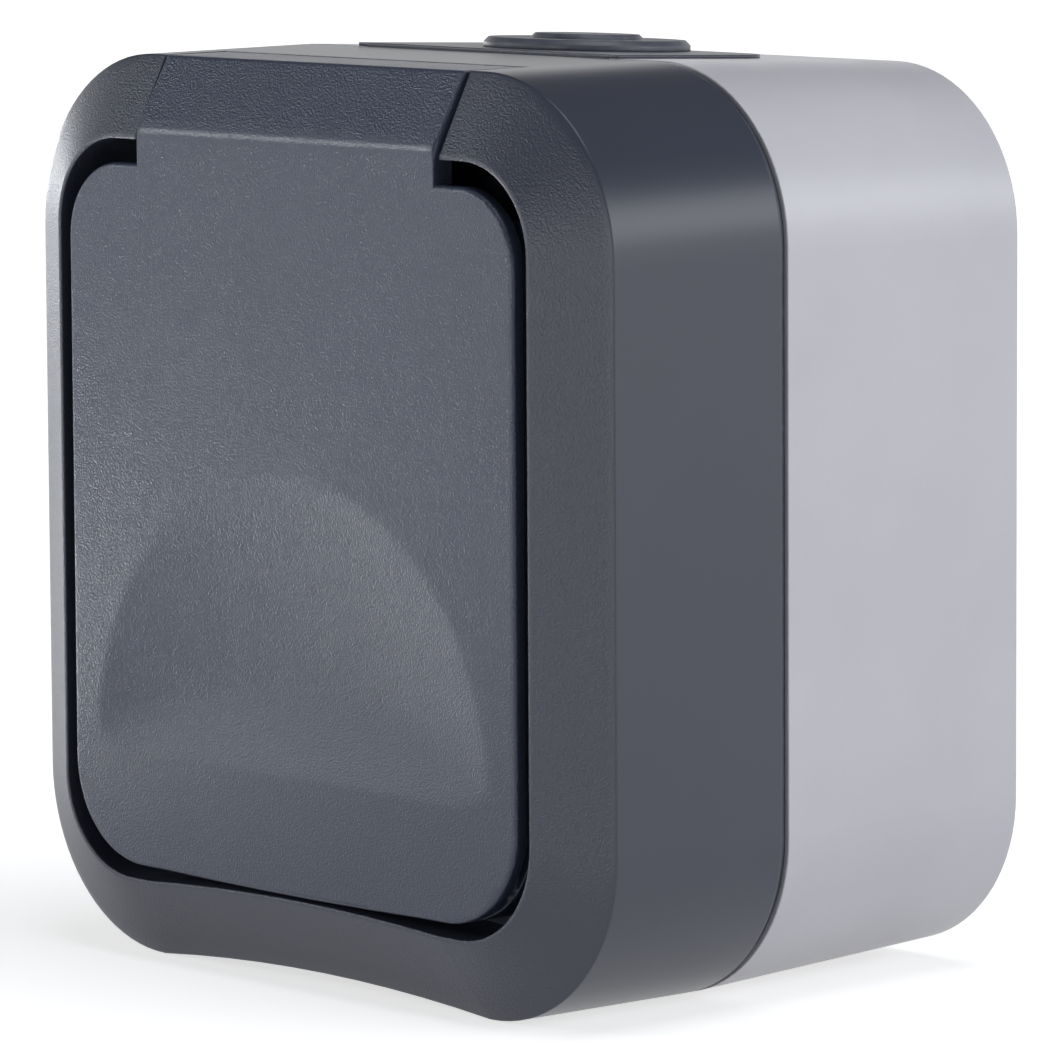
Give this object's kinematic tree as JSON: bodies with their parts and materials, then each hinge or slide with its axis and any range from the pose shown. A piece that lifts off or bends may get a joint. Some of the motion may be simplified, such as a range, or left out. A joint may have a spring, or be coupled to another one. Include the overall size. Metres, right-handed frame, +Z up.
{
  "type": "outdoor weatherproof socket",
  "caption": "Surface-mounted weatherproof socket outlet: light wall box, dark front cover and a sprung lid hinged at the top over a round earthed plug well.",
  "frame": {"origin": "centre of the wall box's back face, on the wall", "axes": "+X to the right seen from the front, +Y into the wall, +Z up towards the lid's hinge"},
  "size_m": [0.07, 0.0487, 0.0765],
  "materials": {
    "light_grey": "satin",
    "dark_grey": "satin",
    "lid_grey": "grained",
    "insert_grey": "satin",
    "dark_rubber": "matt",
    "base_white": "matt",
    "steel": "zinc plated",
    "brass": "plain"
  },
  "bodies": {
    "housing": {"back_box": "light_grey", "front_cover": "dark_grey", "box_gasket": "dark_rubber", "cable_entry_plate": "dark_grey", "cable_grommet": "dark_rubber", "hinge_pin": "steel", "lid_spring": "steel", "cover_screws": "steel", "socket_insert": "insert_grey", "central_screw": "steel", "socket_base": "base_white", "line_contact": "brass", "neutral_contact": "brass", "line_terminal": "brass", "neutral_terminal": "brass", "earth_bridge": "steel", "earth_clamp": "steel", "terminal_screws": "steel", "base_screws": "steel"},
    "lid_body": {"lid": "lid_grey", "lid_gasket": "dark_rubber"}
  },
  "joints": [
    {"name": "lid_hinge", "type": "hinge", "parent": "housing", "child": "lid_body", "pos_m": [0, -0.0423, 0.0349], "axis": [-1, 0, 0], "range_deg": [0, 110], "stiffness_Nm_per_rad": 0.02, "springref_deg": -20.05, "deforming": ["lid_spring"]}
  ]
}
